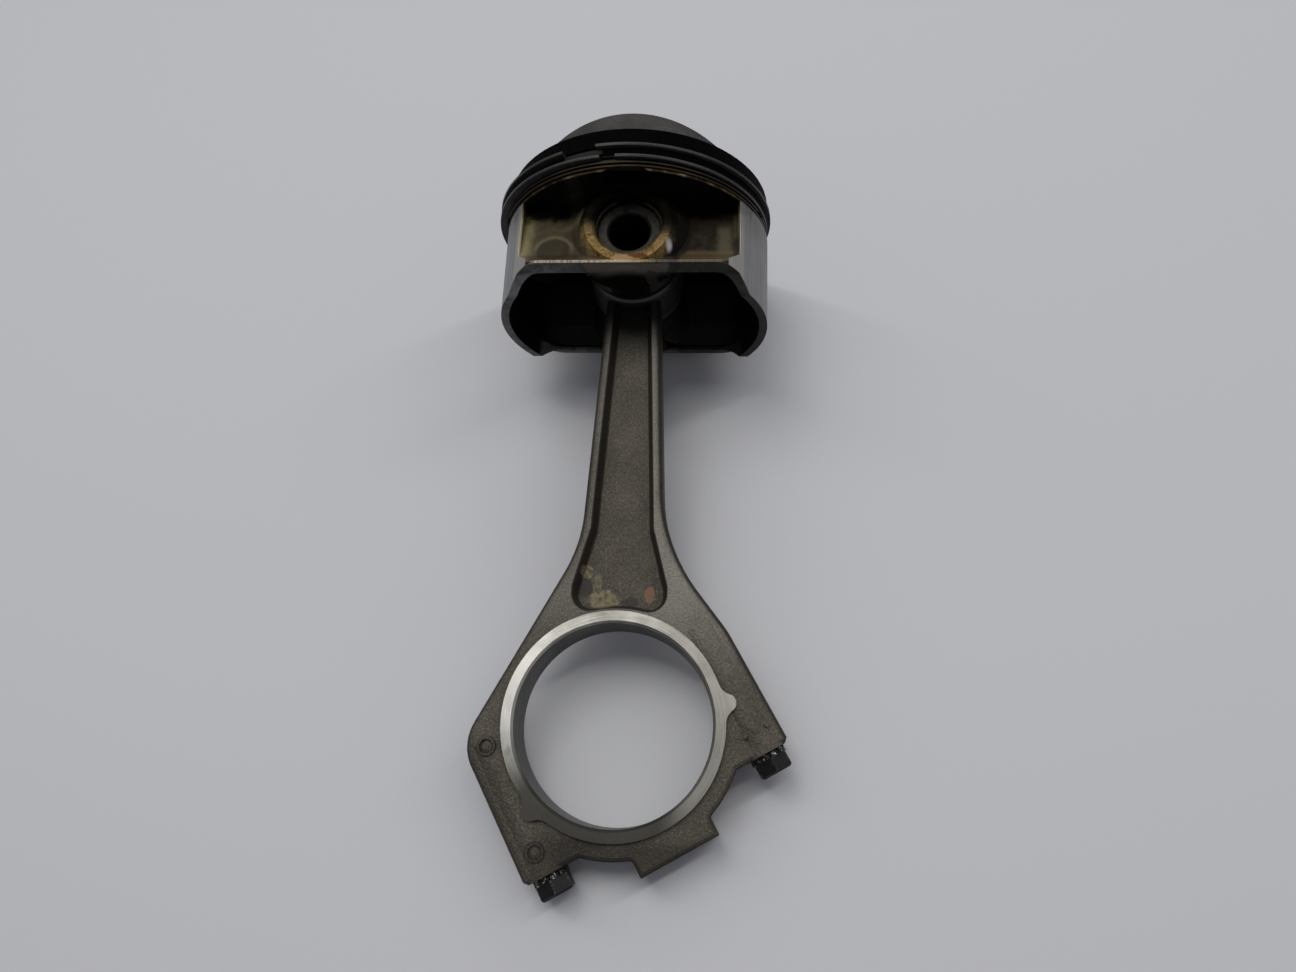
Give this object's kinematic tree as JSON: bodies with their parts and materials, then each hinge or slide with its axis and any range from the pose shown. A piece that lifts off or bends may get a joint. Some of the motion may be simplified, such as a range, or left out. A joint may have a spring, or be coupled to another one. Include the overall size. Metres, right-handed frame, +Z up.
{
  "type": "piston and connecting rod assembly",
  "caption": "Engine piston on its connecting rod: a domed piston with open rings swings on a floating wrist pin, and the rod's split big end takes a crank pin.",
  "frame": {"origin": "middle of the footprint of the lying assembly, on the surface it lies on", "axes": "+Y along the assembly to the piston, +Z up, with the rod lying on its side and its beam rising about ten degrees to the piston"},
  "size_m": [0.0966, 0.2366, 0.089],
  "materials": {
    "forged_rod": "matte, forged and blasted",
    "rod_cap": "matte, forged and blasted",
    "bolt_left": "satin black oxide",
    "bolt_right": "satin black oxide",
    "bushing": "satin",
    "wrist_pin": "polished, with a dark bore",
    "clip_upper": "satin",
    "clip_lower": "satin",
    "piston": "satin, stained by oil and carbon",
    "top_ring": "worn satin",
    "second_ring": "worn satin",
    "lower_rail": "satin",
    "expander": "satin",
    "upper_rail": "satin"
  },
  "bodies": {
    "rod_assembly": {"connecting_rod": "forged_rod", "rod_cap": "rod_cap", "rod_bolt_left": "bolt_left", "rod_bolt_right": "bolt_right", "small_end_bushing": "bushing"},
    "piston_assembly": {"piston": "piston", "pin_circlip_upper": "clip_upper", "pin_circlip_lower": "clip_lower"},
    "wrist_pin": {"wrist_pin": "wrist_pin"},
    "top_ring": {"top_compression_ring": "top_ring"},
    "second_ring": {"second_compression_ring": "second_ring"},
    "oil_ring": {"oil_ring_lower_rail": "lower_rail", "oil_ring_expander": "expander", "oil_ring_upper_rail": "upper_rail"}
  },
  "joints": [
    {"name": "piston_swing", "type": "hinge", "parent": "rod_assembly", "child": "piston_assembly", "pos_m": [-0.00152, 0.07644, 0.04116], "axis": [0.045, -0.1792, 0.9828], "range_deg": [-45, 45]},
    {"name": "wrist_pin_turn", "type": "hinge", "parent": "rod_assembly", "child": "wrist_pin", "pos_m": [-0.00152, 0.07644, 0.04116], "axis": [0.045, -0.1792, 0.9828], "continuous": true},
    {"name": "top_ring_turn", "type": "hinge", "parent": "piston_assembly", "child": "top_ring", "pos_m": [-0.00234, 0.09422, 0.04515], "axis": [0.0082, 0.9838, 0.179], "continuous": true},
    {"name": "second_ring_turn", "type": "hinge", "parent": "piston_assembly", "child": "second_ring", "pos_m": [-0.00288, 0.0902, 0.04434], "axis": [0.0082, 0.9838, 0.179], "continuous": true},
    {"name": "oil_ring_turn", "type": "hinge", "parent": "piston_assembly", "child": "oil_ring", "pos_m": [-0.00182, 0.0874, 0.04348], "axis": [0.0082, 0.9838, 0.179], "continuous": true}
  ]
}
